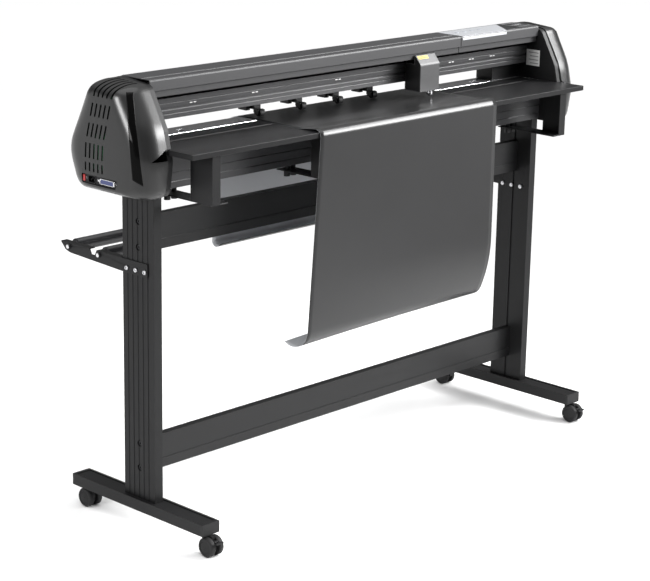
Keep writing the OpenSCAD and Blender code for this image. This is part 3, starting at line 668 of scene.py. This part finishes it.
def make_io():
    """The wide port's bright frame and blue insert, four screws and the inlet's rim, on the left cap."""
    lo = span("io_plate")[0]
    face, mid_z = lo.x + PANEL_FACE, lo.z + PANEL_MIDDLE
    port_y, inlet_y = lo.y + PORT_Y, lo.y + INLET_Y
    surround = Shape()
    front, back = port_y - PORT_HALF[0], port_y + PORT_HALF[0]
    low, high = mid_z - PORT_HALF[1], mid_z + PORT_HALF[1]
    for y0, y1, z0, z1 in ((front, back, low, low + 1.6), (front, back, high - 1.6, high),
                           (front, front + 4.5, low, high), (back - 2.5, back, low, high)):
        surround.box((face - 2.2, y0, z0), (face + 0.5, y1, z1))
    surround.piece("port_frame", ["chrome_bright"], slot="fastener_steel", bevel=0.3)
    core = Shape()
    core.box((face - 1.2, front + 4, low + 1.5), (face + 0.6, back - 3, high - 1.5))
    core.piece("port_insert", ["port_blue"], slot="plastic_black", bevel=0.4)
    screws = Shape()
    for y in (inlet_y - 20, inlet_y + 20, port_y - 30, port_y + 31):
        screws.turned((face, y, mid_z + 0.5), "x", PANEL_SCREW, sides=24)
    screws.piece("panel_screws", ["chrome_bright"], slot="fastener_steel")
    rim = Shape()
    wide, tall = INLET_HALF
    outer, inner = [fillet([(inlet_y - wide - g, mid_z - tall - g, 3), (inlet_y + wide + g, mid_z - tall - g, 3),
                            (inlet_y + wide + g, mid_z + tall + g, 3), (inlet_y - wide - g, mid_z + tall + g, 3)], 4)
                    for g in (0, -2)]
    proud = face - 1.6
    section = ((face, outer), (proud, outer), (proud, inner), (face, inner))
    rim.loops([[(x, p[0], p[1]) for p in ring] for x, ring in section], closed=True)
    rim.piece("inlet_rim", ["plastic_black"], slot="plastic_black", bevel=0.2)


# ---------------------------------------------------------------- stand details
# The crossbeam bolts' distances from the beams' outer edges, and the roll brackets' bolts along y from the leg's middle
BEAM_BOLTS = (12, 75)
BRACKET_BOLTS = (-27, 5, 37)
BRACKET_BOLT_Z = 657
BEAM_BOLT = {"shank": 4, "head": 6.5, "head_height": 6, "length": 40}
BRACKET_BOLT = {"shank": 3, "head": 5.5, "head_height": 3.4, "length": 34}
BOLT_EDGE = 0.6
SOCKET_SHARE = 0.56
SOCKET_DEPTH = 2.2
NUT_RADIUS = 6
NUT_HEIGHT = 5
# Profiles along the axis: (outwards, radius)
HUB_DOME = ((-2.0, 17), (-0.8, 16.5), (-0.1, 12), (0.6, 7), (0.9, 1))
AXLE_NUT = ((-1.6, 5.6), (1.5, 5.6), (2.4, 4.6), (2.4, 1))


def make_bolts():
    """Dark crossbeam bolts deep in the legs' bores, and bright socket bolts on the roll brackets."""
    bracket_x = span("stand_bolts")[1].x - 3.5
    leg_lo, leg_hi = span("right_leg")
    beams_lo, beams_hi = span("crossbeams")
    mid_y = (leg_lo.y + leg_hi.y) / 2
    heights = [beams_lo.z + up for up in BEAM_BOLTS] + [beams_hi.z - down for down in reversed(BEAM_BOLTS)]
    nut = [(NUT_RADIUS * math.sin(math.radians(60 * k)), NUT_RADIUS * math.cos(math.radians(60 * k)))
           for k in range(6)]
    dark, bright = Shape(), Shape()
    for side in (-1, 1):
        for z in heights:
            socket_bolt(dark, side, (leg_hi.x - 9, mid_y, z), **BEAM_BOLT)
        for dy in BRACKET_BOLTS:
            socket_bolt(bright, side, (bracket_x, mid_y + dy, BRACKET_BOLT_Z), **BRACKET_BOLT)
            nut_x = side * (leg_lo.x - NUT_HEIGHT)
            outline = [(mid_y + dy + n[0], BRACKET_BOLT_Z + n[1]) for n in nut]
            bright.slab(outline, nut_x, nut_x + side * NUT_HEIGHT, "x")
    dark.piece("beam_bolts", ["bolt_dark"], slot="fastener_steel", bevel=0.3, stands_for=["stand_bolts"])
    bright.piece("bracket_bolts", ["fastener_steel"], slot="fastener_steel", bevel=0.3)


def socket_bolt(shape, side, place, shank, head, head_height, length):
    """A cap screw along X with a hexagonal socket; its place is the underside of its head, on the right."""
    x, y, z = place

    def ring(at, radius, hexagonal=False):
        points = []
        for k in range(24):
            a = 2 * math.pi * k / 24
            r = radius
            if hexagonal:
                r = radius * math.cos(math.pi / 6) / math.cos((a % (math.pi / 3)) - math.pi / 6)
            points.append((side * at, y + r * math.cos(a), z + r * math.sin(a)))
        return points
    top, socket = x + head_height, head * SOCKET_SHARE
    shape.loops([ring(x - length, shank), ring(x, shank), ring(x, head), ring(top - BOLT_EDGE, head),
                 ring(top, head - BOLT_EDGE), ring(top, socket, True), ring(top - SOCKET_DEPTH, socket, True)])


def make_hubs_and_nuts():
    """Domed hub covers on the caster wheels, and nuts on the media rollers' axles."""
    for tag in ("fl", "fr", "rl", "rr"):
        lo, hi = span("caster_%s_wheels" % tag)
        mid = (lo + hi) / 2
        dome = Shape()
        for side, edge in ((-1, lo.x), (1, hi.x)):
            dome.turned((edge, mid.y, mid.z), "x", [(side * out, radius) for out, radius in HUB_DOME], sides=36)
        dome.piece("caster_%s_hubs" % tag, ["tread_black"], body="caster_%s_wheel_pair" % tag, slot="tread_black",
                   smooth=50)
    for tag, body in (("front_media_roller", "front_roller"), ("rear_media_roller", "rear_roller")):
        lo, hi = span(tag)
        mid = (lo + hi) / 2
        nuts = Shape()
        for side in (-1, 1):
            profile = [(side * out, radius) for out, radius in AXLE_NUT]
            nuts.turned((side * (abs(hi.x) - 2), mid.y, mid.z), "x", profile, sides=24)
        nuts.piece(tag + "_nuts", ["chrome_bright"], body=body, slot="fastener_steel")


# ---------------------------------------------------------------- head details
# How much of the hood's slope the label covers, and how far printed marks stand up
LABEL_SHARE = 0.46
PRINT = 0.12
# The rail's marks: place along the machine and height of each pair of dashes
RAIL_MARKS = ((268, 1037), (292, 1042), (-560, 1040), (-355, 1041), (-60, 1041), (385, 1041), (470, 1041), (560, 1041))
# The frame label's top front corner (y, z) and its height and width
FRAME_LABEL = ((-59.5, 1048), (45, 47))
KEYS = (430, 462, 494, 526)
# The film's fold, from the housing's front top corner: (back, up)
APRON = ((7, 0.25), (4.8, 0.2), (1.4, -1.4), (-0.15, -5), (-0.15, -11), (0.3, -11), (0.4, -5), (1.9, -1.9),
         (5, -0.4), (7, -0.3))
APRON_LENGTH = 186
RIM = 1.2
SPRING_TURNS = 7
SPRING_STEPS = 16
SPRING_R = 3.2
SPRING_WIRE = 0.6
SPRING_LENGTH = 18


def quad_patch(shape, corner, across, up, thick, slot=0):
    """A thin plate from a corner and two edges, lifted along their cross product."""
    corner, across, up = Vector(corner), Vector(across), Vector(up)
    lift = across.cross(up).normalized() * thick
    base = [corner, corner + across, corner + across + up, corner + up]
    top = [p + lift for p in base]
    shape.add(base + top, [(3, 2, 1, 0), (4, 5, 6, 7), (0, 1, 5, 4), (1, 2, 6, 5), (2, 3, 7, 6), (3, 0, 4, 7)], slot)


def make_carriage_label_and_side_shade():
    """A plain yellow label on the cover's sloped hood, with two rows that say nothing, and thin dark plates over both
    sides that are painted shade.
    """
    lo, hi = span("carriage_cover")
    foot, head = Vector((0, lo.y + 3.6, hi.z - 18.3)), Vector((0, lo.y + 18.4, hi.z - 1.2))
    slope = head - foot
    label = Shape()
    corner = Vector((lo.x + 4, foot.y, foot.z)) + slope * 0.50
    normal = Vector((1, 0, 0)).cross(slope).normalized()
    quad_patch(label, corner, (40, 0, 0), slope * LABEL_SHARE, 0.25)
    for up, wide in ((0.22, 24), (0.62, 17)):
        row = corner + slope * LABEL_SHARE * up + normal * 0.24 + Vector((6, 0, 0))
        quad_patch(label, row, (wide, 0, 0), slope * 0.07, PRINT, 1)
    label.piece("carriage_label", ["label_yellow", "print_dark"], body="carriage", slot="carriage_grey")
    # Thin dark plates laid over both sides of the carriage are painted shade, standing in for the shade that these
    # sides lie in.
    side = Shape()
    outline = [(lo.y + 3, lo.z + 2), (hi.y - 1, lo.z + 2), (hi.y - 1, hi.z - 24), (lo.y + 20, hi.z - 24),
               (lo.y + 20, hi.z - 3), (lo.y + 17, hi.z - 3), (lo.y + 3, hi.z - 21)]
    side.slab(outline, lo.x - 0.25, lo.x + 0.1, "x")
    side.slab(outline, hi.x - 0.1, hi.x + 0.25, "x")
    side.piece("carriage_side_shade", ["carriage_dark"], body="carriage", slot="carriage_dark", bevel=0.1)


def make_labels():
    """The plain label inside the right end frame, with four rows that say nothing, and the rail's small marks."""
    rail_lo, rail_hi = span("guide_rail")
    inner = rail_hi.x
    label = Shape()
    (front, top), (tall, wide) = FRAME_LABEL
    quad_patch(label, (inner - 0.02, front, top), (0, 0, -tall), (0, wide, 0), 0.25)
    for k in range(4):
        quad_patch(label, (inner - 0.26, -55, 1041 - 10 * k), (0, 0, -2.2), (0, 34 - 5 * (k % 2), 0), PRINT, 1)
    label.piece("frame_label", ["label_white", "print_grey"], slot="plastic_black")
    marks = Shape()
    for x, z in RAIL_MARKS:
        for k in range(2):
            marks.box((x + 12 * k, rail_lo.y - 0.08, z), (x + 8 + 12 * k, rail_lo.y + 0.3, z + 2.2))
    marks.piece("rail_marks", ["label_white"], slot="rail_black")


def make_keypad_trim():
    """Symbols round the keys, the film's fold over the housing's front edge, and the dark wedge beside the display."""
    key_lo, key_hi = span("keypad_overlay")
    top = key_hi.z
    symbols = Shape()
    for x in KEYS:
        symbols.box((x - 5, 17.5, top - 0.1), (x + 5, 19.0, top + PRINT))
        symbols.box((x - 7, -8, top - 0.1), (x + 7, -7.2, top + PRINT))
    symbols.box((key_lo.x + 14, 31, top - 0.1), (key_lo.x + 66, 33, top + PRINT))
    symbols.piece("keypad_symbols", ["print_grey"], slot="keypad_silver")
    cover_lo, cover_hi = span("panel_housing")
    film = Shape()
    profile = [(cover_lo.y + back, cover_hi.z + up) for back, up in APRON]
    film.slab(profile, key_lo.x, key_lo.x + APRON_LENGTH, "x")
    film.piece("keypad_apron", ["keypad_silver"], slot="keypad_silver", smooth=60)
    wedge = Shape()
    outline = [(588, cover_lo.y + 7), (646, 40), (668, -8), (658, cover_lo.y + 7)]
    wedge.slab(outline, cover_hi.z - 0.2, cover_hi.z + 0.3)
    wedge.piece("keypad_wedge", ["display_glass"], slot="display_glass", bevel=0.1)


def make_cover_trim():
    """The dark seam between the long cover and the housing, and the rim round the display."""
    cover_lo, cover_hi = span("panel_housing")
    seam = Shape()
    seam.box((cover_lo.x - 1.4, cover_lo.y + 1.2, cover_hi.z - 26),
             (cover_lo.x - 0.1, cover_lo.y + 90, cover_hi.z - 1.0))
    seam.piece("cover_seam", ["plastic_black"], slot="plastic_black")
    lo, hi = span("display_window")
    rim = Shape()
    for x0, x1, y0, y1 in ((lo.x, hi.x, lo.y, lo.y + RIM), (lo.x, hi.x, hi.y - RIM, hi.y),
                           (lo.x, lo.x + RIM, lo.y, hi.y), (hi.x - RIM, hi.x, lo.y, hi.y)):
        rim.box((x0, y0, hi.z - 0.2), (x1, y1, hi.z + 0.2))
    rim.piece("display_rim", ["print_grey"], slot="plastic_black")


def make_springs():
    """Two coil springs on each pinch carrier."""
    for i in (1, 2, 3, 4):
        lo, hi = span("pinch_%d_carrier" % i)
        coil = Shape()
        count = SPRING_TURNS * SPRING_STEPS
        for x in (lo.x + 6, hi.x - 6):
            path = []
            for k in range(count + 1):
                a = 2 * math.pi * k / SPRING_STEPS
                path.append((x + SPRING_R * math.cos(a), lo.y + 14 + SPRING_R * math.sin(a),
                             lo.z + 6 + SPRING_LENGTH * k / count))
            coil.tube(path, SPRING_WIRE, sides=6)
        coil.piece("pinch_%d_springs" % i, ["fastener_steel"], body="pinch_%d" % i, slot="fastener_steel")


# ---------------------------------------------------------------- vinyl
SHEET_COLUMNS = 44
FILM_THICK = 0.0004
# The bend over the table's front edge
BEND_TOP = 954.5
BEND_R = 20
# The curl at the sheet's front end, for each side edge: its centre, radius, first and last angle
CURLS = {"left": ((86.5, 464), 53, 302, 184), "right": ((71.9, 472.6), 45, 332, 203)}
# On the right edge the sheet hangs in a long arc above its curl
HANG_ARC = ((371, 600), 370, 203, 180)
HANG_TOP = 945
FLAT_FROM = 78
REAR_R = 60
REAR_LEAN = 7.7
REAR_HANG = 285
REAR_CURL_R = 15
REAR_CURL_END = -160
# The hanging part bows back in the middle, by this much, over this length below this height
BOW = 3.0
BOW_FROM = 900
BOW_LENGTH = 400


def evenly(points, count):
    """An open line again, with evenly spaced points."""
    marks = [0]
    for a, b in zip(points, points[1:]):
        marks.append(marks[-1] + (b - a).length)
    out, k = [], 0
    for j in range(count + 1):
        want = marks[-1] * j / count
        while k < len(points) - 2 and marks[k + 1] < want:
            k += 1
        out.append(points[k].lerp(points[k + 1], (want - marks[k]) / max(1e-9, marks[k + 1] - marks[k])))
    return out


def sheet_edge(front, top, back, edge):
    """Side view of one edge of the sheet, from the front curl to the rear end: (y, z) points."""
    bend_c = (front + BEND_R, BEND_TOP)
    (curl_y, curl_z), radius, first, last = CURLS[edge]
    curl = bend((front + curl_y, curl_z), radius, first, last, 16)
    if edge == "right":
        (hang_y, hang_z), radius, first, last = HANG_ARC
        hang = bend((front + hang_y, hang_z), radius, first, last, 10)
        over = bend(bend_c, BEND_R - 1, 180, 93, 14)
    else:
        hang = [Vector(curl[-1]), Vector((front, HANG_TOP))]
        over = bend(bend_c, BEND_R, 183.9, 93, 14)
    hang = evenly([curl[-1]] + hang[1:] + [over[0]], 34)
    flat = evenly([over[-1], Vector((front + FLAT_FROM, top)), Vector((back, top))], 14)
    rear = bend((back, top - REAR_R), REAR_R, 90, REAR_LEAN, 14)
    lean = math.radians(REAR_LEAN)
    tail_end = rear[-1] + REAR_HANG * Vector((math.sin(lean), -math.cos(lean)))
    curl_c = tail_end - REAR_CURL_R * Vector((math.cos(lean), math.sin(lean)))
    rear_curl = bend(curl_c, REAR_CURL_R, REAR_LEAN, REAR_CURL_END, 12)
    tail = evenly([rear[-1], rear_curl[0]], 14)
    return curl + hang[1:-1] + over + flat[1:] + rear[1:] + tail[1:-1] + rear_curl


def make_vinyl():
    """The loaded sheet: black film outside, pale liner inside."""
    lo, hi = span("vinyl_sheet")
    platen_back = span("platen")[1].y
    top = span("platen")[1].z + 0.6
    edges = [sheet_edge(lo.y + 1, top, platen_back, edge) for edge in ("left", "right")]
    rows = []
    for left, right in zip(*edges):
        row = []
        for j in range(SHEET_COLUMNS + 1):
            s = j / SHEET_COLUMNS
            p = left.lerp(right, s)
            hanging = min(1, max(0, (BOW_FROM - p.y) / BOW_LENGTH)) if p.x < -100 else 0
            row.append((lo.x + (hi.x - lo.x) * s, p.x + hanging * BOW * math.sin(math.pi * s), p.y))
        rows.append(row)
    sheet = Shape()
    sheet.net(rows)
    obj = sheet.piece("vinyl_film", ["vinyl_black", "liner_pale"], slot="vinyl_black", stands_for=["vinyl_sheet"],
                      smooth=80)
    hanging_face = next(f for f in obj.data.polygons if 0.6 < f.center.z < 0.7 and f.center.y < -0.15)
    if hanging_face.normal.y > 0:
        obj.data.flip_normals()
    wall = obj.modifiers.new("film", "SOLIDIFY")
    wall.thickness = FILM_THICK
    wall.offset = -1
    wall.material_offset = 1
    wall.material_offset_rim = 1


# ---------------------------------------------------------------- run
make_camera()
make_light()
make_floor()
dress_cad()
make_cap("left_cap", -1)
make_cap("right_cap", 1)
make_io()
make_bolts()
make_hubs_and_nuts()
make_carriage_label_and_side_shade()
make_labels()
make_keypad_trim()
make_cover_trim()
make_springs()
make_vinyl()
